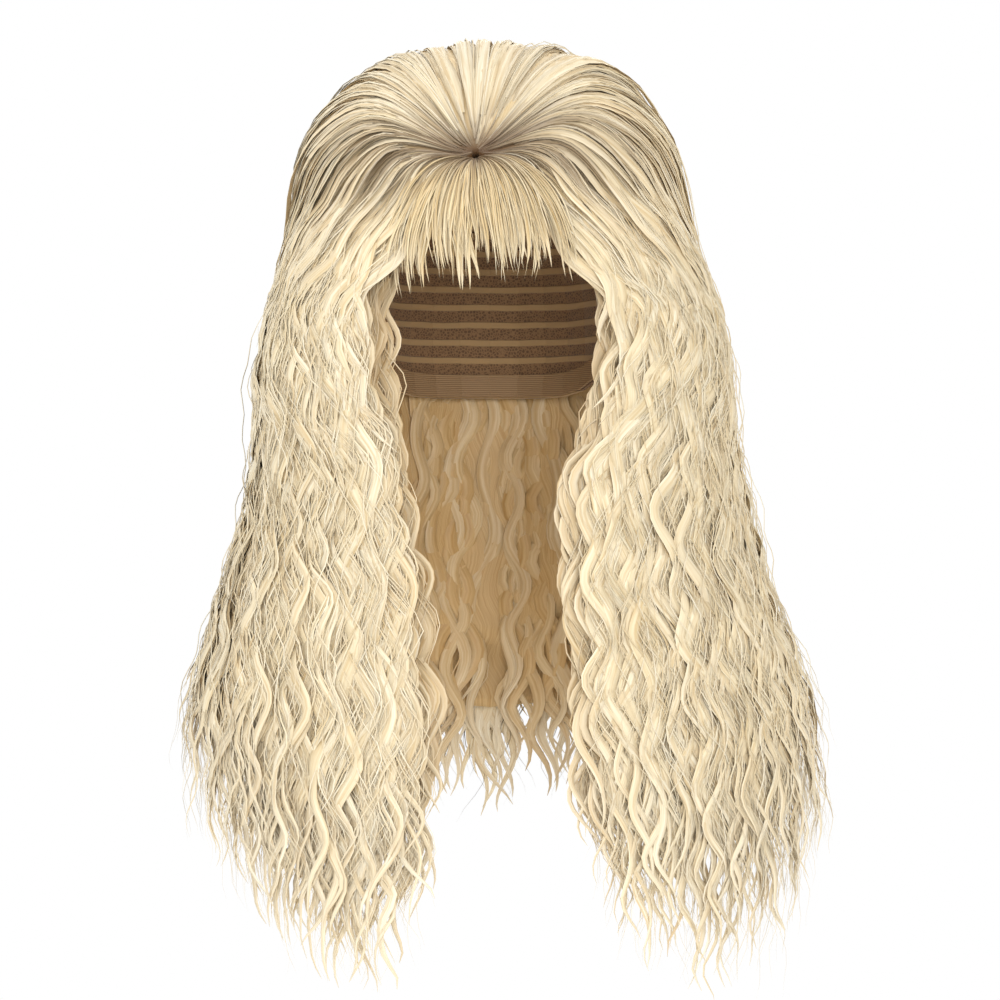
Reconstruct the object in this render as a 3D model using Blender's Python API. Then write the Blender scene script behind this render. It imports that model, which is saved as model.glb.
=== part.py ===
"""Long teased wig: a head-shaped cap with its edge band, and the hair that is sewn to it.

Metres, +Z up, the face looks along -Y. The origin is the top of the head inside the cap.
Left and right are the wearer's: the wearer's right is at -X.
Azimuth is measured in degrees from the face, positive towards +X.
"""

import math

import bmesh
import bpy
import numpy as np

# Head and cap
HEAD_WIDTH = 0.150
HEAD_DEPTH = 0.194
HEAD_HEIGHT = 0.115
CAP_WALL = 0.0018
CAP_FRONT_DROP = 0.050
CAP_EAR_DROP = 0.104
CAP_NAPE_DROP = 0.150
BAND_WIDTH = 0.014
BAND_WALL = 0.0014

# Clearances between pieces
BAND_GAP = 0.0011
SEAT_GAP = 0.0003
LAYER_GAP = 0.0030
PARTING_GAP = 0.0018

# Where all hair starts: the whorl, on the front of the crown
WHORL_TILT = 25.0
WHORL_AZIMUTH = -10.0
WHORL_RADIUS = 0.006
WHORL_PIT = 0.006

# Teased crown
CROWN_LIFT = 0.070
CROWN_HALF_WIDTH = 0.118
CROWN_FRONT = 0.084
CROWN_BACK = 0.140
CROWN_CENTRE_DROP = 0.030
CROWN_SEAT_DROP = 0.052
CROWN_EDGE_DROP = 0.092
CROWN_TUFT = 0.006
CROWN_RISE = 0.42
CROWN_LAYER = 0.008
CROWN_FRONT_THIN = 0.45

# Long hair
FALL_DROP = 0.505
SIDE_REACH = 0.198
FRONT_REACH = 0.120
BACK_REACH = 0.146
HAIR_WALL = 0.042
TIP_WALL = 0.0035
TIP_STAGGER = 0.016
TIP_CALM = 0.30
LOCK_DENT = 0.0085
WAVE_PITCH = 0.062
WAVE_EASE = 0.110
WAVE_SWING = 0.0060
WAVE_SWELL = 0.0040

# Fringe
FRINGE_DROP = 0.078
FRINGE_SIDE_DROP = 0.088
FRINGE_HALF_ANGLE = 36.5
FRINGE_WALL = 0.0120
FRINGE_TIP_WALL = 0.0025
FRINGE_TUFT = 0.0030
FRINGE_LOCKS = 9

# Outline of the long hair, a row for each level. drop is a share of FALL_DROP, left and right
# of SIDE_REACH, front of FRONT_REACH, back of BACK_REACH and wall of HAIR_WALL. The edges are
# the azimuths, in degrees, where the hair stops on each side of the face.
OUTLINE_COLUMNS = ("drop", "left", "right", "front", "back", "wall", "edge_left", "edge_right")
OUTLINE = (
    (0.06, 0.600, 0.590, 0.70, 0.96, 1.60, 43.0, 43.0),
    (0.12, 0.640, 0.625, 0.80, 0.98, 1.50, 43.0, 43.0),
    (0.20, 0.715, 0.680, 0.88, 1.00, 1.35, 43.0, 43.0),
    (0.28, 0.750, 0.720, 0.87, 0.98, 1.20, 41.0, 41.0),
    (0.36, 0.762, 0.715, 0.83, 0.93, 1.00, 34.0, 35.0),
    (0.44, 0.805, 0.745, 0.84, 0.88, 0.92, 28.0, 30.0),
    (0.52, 0.850, 0.810, 0.91, 0.87, 0.95, 26.0, 25.0),
    (0.60, 0.930, 0.870, 0.97, 0.89, 1.00, 26.0, 20.0),
    (0.68, 0.985, 0.910, 1.00, 0.91, 1.00, 26.0, 18.0),
    (0.80, 1.000, 0.890, 1.00, 0.90, 0.90, 27.0, 17.0),
    (0.90, 0.970, 0.830, 0.97, 0.86, 0.75, 29.0, 18.0),
    (1.00, 0.900, 0.760, 0.93, 0.82, 0.55, 31.0, 20.0),
)

# Where the hair ends. way is the share of the way from the face to the middle of the back,
# left and right are shares of FALL_DROP.
TIPS_COLUMNS = ("way", "left", "right")
TIPS = (
    (0.00, 0.82, 0.83),
    (0.03, 0.90, 0.91),
    (0.06, 0.95, 0.97),
    (0.14, 1.00, 1.00),
    (0.20, 1.00, 1.00),
    (0.25, 0.97, 0.92),
    (0.30, 0.93, 0.87),
    (0.35, 0.885, 0.845),
    (0.41, 0.83, 0.805),
    (0.50, 0.79, 0.77),
    (0.60, 0.77, 0.76),
    (0.75, 0.79, 0.79),
    (1.00, 0.81, 0.81),
)

# The falls of one side, from the face to the middle of the back.
FALL_COLUMNS = ("name", "start", "end", "locks")
FALLS = (
    ("front_hair", 0.00, 0.30, 4),
    ("side_hair", 0.30, 0.58, 4),
    ("back_hair", 0.58, 1.00, 5),
)

# How finely the surfaces are divided
FALL_ROWS = 33
CROWN_ROWS = 13
FRINGE_ROWS = 9
COARSE = 2
CAP_COLUMNS = 32
CAP_ROWS = 8
POINTS_A_LOCK = 3

# Colours of the materials
BLONDE = (0.80, 0.68, 0.46, 1.0)
HONEY = (0.66, 0.52, 0.32, 1.0)
NET = (0.52, 0.38, 0.24, 1.0)
ELASTIC = (0.60, 0.46, 0.31, 1.0)


def clear_scene():
    """Removes every object of the file that the script starts in."""
    for item in list(bpy.data.objects):
        bpy.data.objects.remove(item, do_unlink=True)


def make_material(name, colour, roughness):
    """A Principled material of one colour."""
    material = bpy.data.materials.new(name)
    material.use_nodes = True
    shader = material.node_tree.nodes["Principled BSDF"]
    shader.inputs["Base Color"].default_value = colour
    shader.inputs["Roughness"].default_value = roughness
    shader.inputs["Metallic"].default_value = 0.0
    return material


def column(table, names, name):
    """One named column of a table, as an array."""
    return np.array([row[names.index(name)] for row in table])


def smooth(share):
    """Eases from 0 to 1."""
    share = np.clip(share, 0.0, 1.0)
    return share * share * (3.0 - 2.0 * share)


def outline_at(height, name):
    """A column of the outline at a height, as it stands in the table."""
    levels = -column(OUTLINE, OUTLINE_COLUMNS, "drop") * FALL_DROP
    values = column(OUTLINE, OUTLINE_COLUMNS, name)
    return np.interp(height, levels[::-1], values[::-1])


def section_at(height):
    """The hair's outline at a height: its centre and half sizes, along X and Y."""
    dome_half = CROWN_LIFT + CROWN_CENTRE_DROP
    rise = np.clip((height + CROWN_CENTRE_DROP) / dome_half, 0.0, 1.0)
    shrink = np.sqrt(1.0 - rise * rise)
    left = np.where(rise > 0, CROWN_HALF_WIDTH, outline_at(height, "left") * SIDE_REACH)
    right = np.where(rise > 0, CROWN_HALF_WIDTH, outline_at(height, "right") * SIDE_REACH)
    front = np.where(rise > 0, CROWN_FRONT, outline_at(height, "front") * FRONT_REACH)
    back = np.where(rise > 0, CROWN_BACK, outline_at(height, "back") * BACK_REACH)
    centre = ((left - right) / 2, (back - front) / 2)
    return centre, ((left + right) / 2 * shrink, (back + front) / 2 * shrink)


def outside_by(point):
    """Below 1 for a point inside the hair's outline, and above 1 outside it."""
    centre, half = section_at(point[..., 2])
    across = (point[..., 0] - centre[0]) / np.maximum(half[0], 1e-6)
    along = (point[..., 1] - centre[1]) / np.maximum(half[1], 1e-6)
    above = point[..., 2] > CROWN_LIFT
    return np.where(above, 9.0, across * across + along * along)


def reach(start, way):
    """How many times way fits between start and the hair's outline, found by halving."""
    low = np.zeros(way.shape[:-1])
    high = np.full(way.shape[:-1], 4.0)
    for _ in range(40):
        middle = (low + high) / 2
        inside = outside_by(start + way * middle[..., None]) < 1.0
        low = np.where(inside, middle, low)
        high = np.where(inside, high, middle)
    return low


def head_centre():
    """The middle of the head, from which the cap's surfaces are scaled."""
    return np.array([0.0, 0.0, -HEAD_HEIGHT])


def head_half():
    """Half sizes of the head."""
    return np.array([HEAD_WIDTH / 2, HEAD_DEPTH / 2, HEAD_HEIGHT])


def on_head(azimuth, drop, offset):
    """A point at a depth below the crown, offset outwards from the head's surface."""
    half = head_half() + offset
    lift = (HEAD_HEIGHT - drop) / half[2]
    flat = np.sqrt(np.maximum(1.0 - lift * lift, 0.0))
    turn = np.radians(azimuth)
    ray = 1.0 / np.hypot(np.sin(turn) / half[0], np.cos(turn) / half[1])
    return np.stack([ray * flat * np.sin(turn), -ray * flat * np.cos(turn), -drop + 0.0 * ray], axis=-1)


def hair_seat():
    """How far above the head the hair's inner corners lie, so that its facets clear the cap."""
    edge = math.radians(OUTLINE[0][OUTLINE_COLUMNS.index("edge_left")])
    turn = (math.pi - edge) / sum(row[FALL_COLUMNS.index("locks")] for row in FALLS)
    run = (FALL_DROP - CROWN_SEAT_DROP) * COARSE / (FALL_ROWS - 1)
    return CAP_WALL + SEAT_GAP + (HEAD_DEPTH / 2 * turn**2 + run**2 / HEAD_HEIGHT) / 8


def direction_of(point):
    """The direction of a point from the head's centre, in units of the head's half sizes."""
    scaled = (point - head_centre()) / head_half()
    return scaled / np.linalg.norm(scaled, axis=-1, keepdims=True)


def whorl_direction():
    """The direction of the whorl from the head's centre."""
    tilt = math.radians(WHORL_TILT)
    turn = math.radians(WHORL_AZIMUTH)
    flat = math.sin(tilt)
    return np.array([flat * math.sin(turn), -flat * math.cos(turn), math.cos(tilt)])


def fan(ends, shares):
    """Directions on arcs from the whorl to each end: a row of the result for each end."""
    start = whorl_direction()
    angle = np.arccos(np.clip(ends @ start, -1.0, 1.0))[:, None]
    first = WHORL_RADIUS / HEAD_HEIGHT
    turn = first + (angle - first) * shares[None, :]
    ahead = np.sin(angle - turn)[..., None] * start
    behind = np.sin(turn)[..., None] * ends[:, None, :]
    return (ahead + behind) / np.sin(angle)[..., None]


def from_head(direction, offset):
    """The point in a direction from the head's centre, offset outwards from the head."""
    return head_centre() + direction * (head_half() + np.asarray(offset)[..., None])


def bridge(mesh, fine, coarse):
    """Triangles between two lines of vertices that start and end together."""
    step = (len(fine) - 1) // (len(coarse) - 1)
    for i in range(len(coarse) - 1):
        middle = i * step + step // 2
        for k in range(i * step, (i + 1) * step):
            mesh.faces.new((fine[k], fine[k + 1], coarse[i] if k < middle else coarse[i + 1]))
        mesh.faces.new((fine[middle], coarse[i + 1], coarse[i]))


def solid_between(name, outer, inner, material, coarse=(1, 1), ring=False):
    """A closed solid between two grids of points, whose first axis runs across the piece.

    The inner grid keeps one column and one row of so many, as coarse says. A ring joins its
    last column to its first. A first row that is all one point is a pole, which needs no rim.
    """
    mesh = bmesh.new()
    out = [[mesh.verts.new(point) for point in line] for line in outer]
    few = inner[:: coarse[0], :: coarse[1]]
    back = [[mesh.verts.new(point) for point in line] for line in few]
    if ring:
        out.append(out[0])
        back.append(back[0])
    for grid in (out, back):
        for line, after in zip(grid, grid[1:]):
            for k in range(len(line) - 1):
                mesh.faces.new((line[k], line[k + 1], after[k + 1], after[k]))
    rims = [([line[-1] for line in out], [line[-1] for line in back])]
    if np.ptp(outer[:, 0], axis=0).max() > 1e-6:
        rims.append(([line[0] for line in out], [line[0] for line in back]))
    if not ring:
        rims += [(out[0], back[0]), (out[-1], back[-1])]
    for fine, rim in rims:
        bridge(mesh, fine, rim)
    bmesh.ops.remove_doubles(mesh, verts=mesh.verts, dist=1e-6)
    bmesh.ops.recalc_face_normals(mesh, faces=mesh.faces)
    if mesh.calc_volume(signed=True) < 0:
        bmesh.ops.reverse_faces(mesh, faces=mesh.faces)
    return add_object(name, mesh, material)


def add_object(name, mesh, material):
    """Puts a finished bmesh into the scene, shaded smooth between its creases."""
    data = bpy.data.meshes.new(name)
    mesh.to_mesh(data)
    mesh.free()
    data.shade_smooth()
    data.set_sharp_from_angle(angle=math.radians(50))
    data.materials.append(material)
    item = bpy.data.objects.new(name, data)
    bpy.context.scene.collection.objects.link(item)
    return item


def cap_rim(azimuth):
    """How far the cap's edge lies below the crown: high at the brow, low at the nape."""
    turn = np.radians(azimuth)
    back = (1.0 - np.cos(turn)) / 2
    ends = CAP_FRONT_DROP + (CAP_NAPE_DROP - CAP_FRONT_DROP) * smooth(back)
    middle = (CAP_FRONT_DROP + CAP_NAPE_DROP) / 2
    return ends + (CAP_EAR_DROP - middle) * np.sin(turn) ** 2


def make_cap(material):
    """The cap: the head's own shape, one cloth wall thick, open below."""
    azimuths = np.arange(CAP_COLUMNS) * 360.0 / CAP_COLUMNS
    tilts = np.arccos(1.0 - cap_rim(azimuths) / HEAD_HEIGHT)
    shares = np.linspace(0.0, 1.0, CAP_ROWS + 1)
    drops = HEAD_HEIGHT * (1.0 - np.cos(tilts[:, None] * shares[None, :]))
    grid = on_head(azimuths[:, None], drops, 0.0)
    direction = direction_of(grid)
    outer = from_head(direction, np.full(drops.shape, CAP_WALL))
    return solid_between("cap", outer, grid, material, ring=True)


def make_edge_band(material):
    """The elastic band along the inside of the cap's edge."""
    azimuths = np.arange(CAP_COLUMNS) * 360.0 / CAP_COLUMNS
    lower = cap_rim(azimuths)
    drops = np.stack([lower - BAND_WIDTH, lower - BAND_WIDTH / 2, lower], axis=1)
    grid = on_head(azimuths[:, None], drops, 0.0)
    direction = direction_of(grid)
    outer = from_head(direction, np.full(drops.shape, -BAND_GAP))
    inner = from_head(direction, np.full(drops.shape, -BAND_GAP - BAND_WALL))
    return solid_between("edge_band", outer, inner, material, ring=True)


def lock_columns(start, end, locks):
    """Where the columns of a fall stand, and how high each rides on its lock, from 0 to 1."""
    count = locks * POINTS_A_LOCK
    ways = np.linspace(start, end, count + 1)
    ride = np.where(np.arange(count + 1) % POINTS_A_LOCK == 0, 0.0, 1.0)
    return ways, ride


def wave_phase(way, side):
    """The phase of the waves, which drifts round the head so that they don't line up."""
    return 9.0 * way + 1.3 * side + 2.4 * np.sin(11.0 * way + side)


def azimuth_at(way, side, height, strength=1.0):
    """The azimuth of a column of the long hair at a height, with the swing of its waves."""
    edge = outline_at(height, "edge_left" if side > 0 else "edge_right")
    azimuth = edge + (180.0 - edge) * way
    calm = smooth((-height - CROWN_EDGE_DROP) / WAVE_EASE) * smooth((1.0 - way) * 6.0)
    wave = np.sin(2 * np.pi * height / WAVE_PITCH + wave_phase(way, side))
    return side * (azimuth + np.degrees(WAVE_SWING * strength * calm * wave / SIDE_REACH))


def seam_height(way, ride, side):
    """Where the crown's locks end and the falls show: low on a lock, high in its crease."""
    return -CROWN_EDGE_DROP - CROWN_LAYER * (ride + 0.6 * np.sin(9.0 * way + side) ** 2)


def level_ray(azimuth):
    """The level direction of an azimuth."""
    turn = np.radians(azimuth)
    return np.stack([np.sin(turn), -np.cos(turn), 0.0 * turn], axis=-1)


def level_axis(azimuth, height):
    """The points of the upright axis at some heights, one for each azimuth."""
    nought = 0.0 * (azimuth + height)
    return np.stack([nought, nought, height + nought], axis=-1)


def level_radius(azimuth, height):
    """How far the hair's outline lies from the upright axis."""
    return reach(level_axis(azimuth, height), level_ray(azimuth) * SIDE_REACH) * SIDE_REACH


def level_point(azimuth, height, inward):
    """A point of the hair's outline at a height and azimuth, moved inward along its ray."""
    radius = level_radius(azimuth, height) - inward
    return level_axis(azimuth, height) + level_ray(azimuth) * radius[..., None]


def fall_grids(side, start, end, locks, parted_end):
    """The outer and inner points of a fall of long wavy hair, on one side of the head."""
    ways, ride = lock_columns(start, end, locks)
    share = column(TIPS, TIPS_COLUMNS, "left" if side > 0 else "right")
    tips = np.interp(ways, column(TIPS, TIPS_COLUMNS, "way"), share)
    lowest = -(tips * FALL_DROP + TIP_STAGGER * (0.6 * np.sin(37.0 * ways) + ride - 1.0))
    shares = np.linspace(0.0, 1.0, FALL_ROWS)[None, :]
    top = seam_height(ways, ride, side)[:, None]
    ways = ways[:, None]
    ride = ride[:, None]
    outer_height = top + (lowest[:, None] - top) * shares
    inner_height = -CROWN_SEAT_DROP + (lowest[:, None] + CROWN_SEAT_DROP) * shares

    thin = 1.0 - smooth((shares - 0.72) / 0.28)
    strength = TIP_CALM + (1.0 - TIP_CALM) * thin
    wave = np.cos(2 * np.pi * outer_height / WAVE_PITCH + wave_phase(ways, side))
    swell = WAVE_SWELL * strength
    inset = swell * (1.0 - wave * smooth(shares * 4.0))
    wall = np.maximum(outline_at(outer_height, "wall") * HAIR_WALL * thin, TIP_WALL)
    dent = LOCK_DENT * (1.0 - ride) * smooth(shares * 6.0)
    dent = np.minimum(dent, wall - TIP_WALL / 2)
    azimuth = azimuth_at(ways, side, outer_height, strength)
    outer = level_point(azimuth, outer_height, dent + inset)

    azimuth = azimuth_at(ways, side, inner_height, strength)
    radius = level_radius(azimuth, inner_height)
    seat = on_head(azimuth, np.minimum(-inner_height, HEAD_HEIGHT), hair_seat())
    seat = np.hypot(seat[..., 0], seat[..., 1])
    wall = np.maximum(outline_at(inner_height, "wall") * HAIR_WALL * thin, TIP_WALL)
    free = np.maximum(radius - wall - 2 * swell, seat)
    leave = smooth((-inner_height - CROWN_EDGE_DROP) / (CAP_NAPE_DROP - CROWN_EDGE_DROP))
    inner = level_point(azimuth, inner_height, radius - seat - (free - seat) * leave)

    for grid in (outer, inner):
        grid[0] = parted(grid[0], side)
        if parted_end:
            grid[-1] = parted(grid[-1], -side)
    return outer, inner


def make_side_fall(name, side, start, end, locks, material):
    """A fall on one side: a curved wall, ridged into locks that end in points."""
    outer, inner = fall_grids(side, start, end, locks, True)
    tip = "left" if side > 0 else "right"
    if side < 0:
        outer, inner = outer[::-1], inner[::-1]
    return solid_between(f"{name}_{tip}", outer, inner, material, (POINTS_A_LOCK, COARSE))


def make_back_fall(name, start, end, locks, material):
    """The fall at the back: both sides in one, with no parting between them."""
    left = fall_grids(1.0, start, end, locks, False)
    right = fall_grids(-1.0, start, end, locks, False)
    outer, inner = (np.concatenate([a, b[-2::-1]]) for a, b in zip(left, right))
    return solid_between(name, outer, inner, material, (POINTS_A_LOCK, COARSE))


def parted(line, turn):
    """A line of points moved round the head by half a parting."""
    ray = line * np.array([1.0, 1.0, 0.0])
    ray = ray / np.linalg.norm(ray, axis=1, keepdims=True)
    return line + np.stack([-ray[:, 1], ray[:, 0], ray[:, 2]], axis=1) * turn * PARTING_GAP / 2


def crown_columns():
    """The columns of the whole crown, from the left edge of the face round to the right."""
    ways, rides = [], []
    for name, start, end, locks in FALLS:
        more, ride = lock_columns(start, end, locks)
        ways += list(more[:-1])
        rides += list(ride[:-1])
    sides = [1.0] * (len(ways) + 1) + [-1.0] * len(ways)
    ways = ways + [1.0] + ways[::-1]
    rides = rides + [0.0] + rides[::-1]
    return np.array(ways), np.array(rides), np.array(sides)


def make_crown(material):
    """The teased crown: hair that rises from the whorl, bends over and covers the cap."""
    ways, rides, sides = crown_columns()
    seam = seam_height(ways, rides, sides)
    heights = seam + LAYER_GAP
    top = np.full(ways.shape, -CROWN_SEAT_DROP)
    left = azimuth_at(ways, 1.0, seam)
    right = azimuth_at(ways, -1.0, seam)
    outer_end = level_point(np.where(sides > 0, left, right), heights, WAVE_SWELL)
    left = azimuth_at(ways, 1.0, top)
    right = azimuth_at(ways, -1.0, top)
    drops = -top - LAYER_GAP
    inner_end = on_head(np.where(sides > 0, left, right), drops, hair_seat())

    shares = np.linspace(0.0, 1.0, CROWN_ROWS)
    scaled = fan(direction_of(outer_end), shares) * head_half()
    full = reach(head_centre(), scaled)
    seat = hair_seat()
    pit = 1.0 + (seat + WHORL_PIT) / HEAD_HEIGHT
    front = 1.0 - smooth(ways / 0.16)[:, None]
    rise = smooth(shares / CROWN_RISE)[None, :] * (1.0 - CROWN_FRONT_THIN * front * (1.0 - shares**3))
    dent = CROWN_TUFT * (1.0 - rides)[:, None] * smooth(shares * 3.0)[None, :]
    inset = (WAVE_SWELL + dent) / HEAD_HEIGHT
    outer = head_centre() + scaled * (pit + (full - inset - pit) * rise)[..., None]
    share = (CROWN_TUFT * (1.0 - rides) / HAIR_WALL)[:, None]
    outer[:, -1] = outer_end + (inner_end - outer_end) * share
    inner = from_head(fan(direction_of(inner_end), shares), np.full(full.shape, seat))
    inner[:, -1] = inner_end
    return solid_between("crown_hair", outer, inner, material, (POINTS_A_LOCK, 1))


def make_fringe(material):
    """The fringe: short locks that fan from the whorl over the brow."""
    count = FRINGE_LOCKS * POINTS_A_LOCK
    across = np.linspace(-1.0, 1.0, count + 1)
    ride = np.where(np.arange(count + 1) % POINTS_A_LOCK == 0, 0.0, 1.0)
    drops = FRINGE_DROP + (FRINGE_SIDE_DROP - FRINGE_DROP) * across**2
    drops = drops + TIP_STAGGER * 0.5 * (ride - 1.0)
    ends = direction_of(on_head(across * FRINGE_HALF_ANGLE, drops, hair_seat()))
    shares = np.linspace(0.0, 1.0, FRINGE_ROWS)
    direction = fan(ends, shares)
    seat = hair_seat()
    thin = 1.0 - smooth((shares - 0.55) / 0.45)[None, :]
    dent = FRINGE_TUFT * (1.0 - ride)[:, None]
    wall = FRINGE_TIP_WALL + (FRINGE_WALL - FRINGE_TIP_WALL) * thin * smooth(0.5 + shares * 2.0)[None, :]
    wall = np.maximum(wall - dent * thin, FRINGE_TIP_WALL / 2)
    outer = from_head(direction, seat + wall)
    inner = from_head(direction, np.full(wall.shape, seat))
    return solid_between("fringe", outer, inner, material, (POINTS_A_LOCK, 1))


def main():
    """Builds the whole wig."""
    clear_scene()
    hair = make_material("blonde_hair", BLONDE, 0.55)
    under = make_material("honey_hair", HONEY, 0.60)
    net = make_material("cap_net", NET, 0.80)
    elastic = make_material("elastic", ELASTIC, 0.70)
    make_cap(net)
    make_edge_band(elastic)
    make_crown(hair)
    make_fringe(hair)
    for name, start, end, locks in FALLS:
        if end == 1.0:
            make_back_fall(name, start, end, locks, under)
        else:
            make_side_fall(name, 1.0, start, end, locks, hair)
            make_side_fall(name, -1.0, start, end, locks, hair)


main()
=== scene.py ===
"""Dresses the long teased wig: crimped synthetic hair on a net cap, in the frame of its solids.

Metres, +Z up, the face looks along -Y and +X is the wearer's left. The hair follows the same
form as the solids do. Every strand and lock is a path on that form, from the whorl over the
crown and down the falls, with its crimp added as a wave along the path.
"""

import logging
import math
from dataclasses import dataclass, field, replace
from enum import Enum

import bpy
import numpy as np
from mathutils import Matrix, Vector

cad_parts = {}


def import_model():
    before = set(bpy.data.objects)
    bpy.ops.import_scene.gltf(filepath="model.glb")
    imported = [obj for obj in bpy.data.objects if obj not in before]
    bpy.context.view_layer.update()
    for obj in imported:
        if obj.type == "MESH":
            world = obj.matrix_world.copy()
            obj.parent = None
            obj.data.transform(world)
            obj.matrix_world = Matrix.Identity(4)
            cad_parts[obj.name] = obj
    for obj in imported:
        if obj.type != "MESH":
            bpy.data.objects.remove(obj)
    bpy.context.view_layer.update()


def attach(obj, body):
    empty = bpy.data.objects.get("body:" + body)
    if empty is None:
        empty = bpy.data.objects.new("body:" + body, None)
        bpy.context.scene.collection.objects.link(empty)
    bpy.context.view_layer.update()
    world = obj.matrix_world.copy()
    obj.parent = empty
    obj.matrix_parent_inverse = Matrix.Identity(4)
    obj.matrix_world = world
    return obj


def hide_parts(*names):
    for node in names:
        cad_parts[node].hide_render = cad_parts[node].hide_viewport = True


log = logging.getLogger("wig")
Array = np.ndarray


def linear(code: str) -> tuple[float, float, float, float]:
    """Turns an sRGB hex colour into linear values.

    Args:
        code: six hex digits, with or without a leading hash.

    Returns:
        Red, green and blue as linear values, and an alpha of 1.
    """
    raw = [int(code.lstrip("#")[i : i + 2], 16) / 255 for i in (0, 2, 4)]
    red, green, blue = (c / 12.92 if c <= 0.04045 else ((c + 0.055) / 1.055) ** 2.4 for c in raw)
    return red, green, blue, 1.0


def add_node(tree: bpy.types.NodeTree, kind: str, settings: dict, links: dict) -> bpy.types.Node:
    """Adds a node with its settings and links.

    Args:
        tree: the material's node tree.
        kind: the node's type, such as ShaderNodeMath.
        settings: attributes by name, and input values by name or number.
        links: the output that feeds each input, by the input's name or number.

    Returns:
        The new node.
    """
    node = tree.nodes.new(kind)
    for name, value in settings.items():
        if isinstance(name, str) and hasattr(node, name):
            setattr(node, name, value)
        else:
            node.inputs[name].default_value = value
    for name, source in links.items():
        tree.links.new(source, node.inputs[name])
    return node


def band_scale(pitch_mm: float) -> float:
    """The scale at which a wave texture, which turns 20 times its scale a metre, has this pitch."""
    return 2 * math.pi / 20 / (pitch_mm / 1000.0)


def ease(share: Array) -> Array:
    """Eases from 0 to 1: three times the square of the share less twice its cube."""
    share = np.clip(share, 0.0, 1.0)
    return share * share * (3.0 - 2.0 * share)


def unit(vectors: Array) -> Array:
    """Scales vectors to a length of 1."""
    return vectors / np.maximum(np.linalg.norm(vectors, axis=-1, keepdims=True), 1e-9)


class Side(Enum):
    """The wearer's side, as the sign of X."""

    LEFT = 1.0
    RIGHT = -1.0


class Section(Enum):
    """A hair's section, as the angle between its three corners: round, or flat with a low ridge."""

    ROUND = 2 * math.pi / 3
    FLAT = math.pi / 2


@dataclass(frozen=True)
class HairFinish:
    """Crimped synthetic fibre, extruded and heat set.

    A smooth, slightly flattened fibre: silky, with a soft highlight that stretches across the
    strands. The roots are dyed darker. Hair that lies deep is painted darker and more golden: painted shade.
    """

    name: str
    light: str = "#EAE4D2"
    body: str = "#E0D2B0"
    deep_shade: str = "#C7A978"
    root: str = "#5F4325"
    roughness: float = 0.5
    strand_mm: float = 1.5

    def build(self) -> bpy.types.Material:
        """Makes the material.

        The piece's own attribute gives each strand its tone, its share of root colour and its
        share of painted shade, which stands for the shade deep in the hair. The piece's UV map
        counts metres across and along the strands, and stretched noise on it draws the fibres. Real
        ones are 0.08 mm apart, too fine to show, so they are drawn 1.5 mm apart.

        Returns:
            The finished material.
        """
        material = bpy.data.materials.new(self.name)
        material.use_nodes = True
        tree = material.node_tree
        shader = tree.nodes["Principled BSDF"]
        strand = add_node(tree, "ShaderNodeAttribute", {"attribute_name": "strand"}, {})
        parts = add_node(tree, "ShaderNodeSeparateXYZ", {}, {0: strand.outputs["Vector"]})
        uv = add_node(tree, "ShaderNodeUVMap", {"uv_map": "along"}, {})
        across = 1000.0 / self.strand_mm
        scaled = add_node(
            tree, "ShaderNodeMapping", {"Scale": (across, 22.0, 1.0)}, {"Vector": uv.outputs["UV"]}
        )
        fibres = add_node(
            tree, "ShaderNodeTexNoise", {"Scale": 1.0, "Detail": 2.0}, {"Vector": scaled.outputs[0]}
        )
        tone = add_node(
            tree,
            "ShaderNodeMixRGB",
            {"Color1": linear(self.body), "Color2": linear(self.light)},
            {0: parts.outputs["X"]},
        )
        # Hair that lies deep is mixed towards the deep colour: painted shade.
        deep_shade = add_node(
            tree,
            "ShaderNodeMixRGB",
            {"Color2": linear(self.deep_shade)},
            {0: parts.outputs["Z"], "Color1": tone.outputs[0]},
        )
        rooted = add_node(
            tree,
            "ShaderNodeMixRGB",
            {"Color2": linear(self.root)},
            {0: parts.outputs["Y"], "Color1": deep_shade.outputs[0]},
        )
        ridge = add_node(
            tree,
            "ShaderNodeMapRange",
            {"From Min": 0.32, "From Max": 0.68},
            {"Value": fibres.outputs["Fac"]},
        )
        # The fibre noise multiplies the colour: its grooves go darker and golden, as painted shade between the
        # fibres, and its ridges a little lighter.
        shade = add_node(
            tree,
            "ShaderNodeMixRGB",
            {"Color1": (0.82, 0.71, 0.55, 1.0), "Color2": (1.06, 1.06, 1.06, 1.0)},
            {0: ridge.outputs[0]},
        )
        coloured = add_node(
            tree,
            "ShaderNodeVectorMath",
            {"operation": "MULTIPLY"},
            {0: rooted.outputs[0], 1: shade.outputs[0]},
        )
        bump = add_node(
            tree,
            "ShaderNodeBump",
            {"Strength": 0.6, "Distance": 0.0005},
            {"Height": fibres.outputs["Fac"]},
        )
        shader.inputs["Roughness"].default_value = self.roughness
        shader.inputs["IOR"].default_value = 1.53
        shader.inputs["Specular IOR Level"].default_value = 0.3
        shader.inputs["Sheen Weight"].default_value = 0.05
        tree.links.new(coloured.outputs[0], shader.inputs["Base Color"])
        tree.links.new(bump.outputs[0], shader.inputs["Normal"])
        return material


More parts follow.
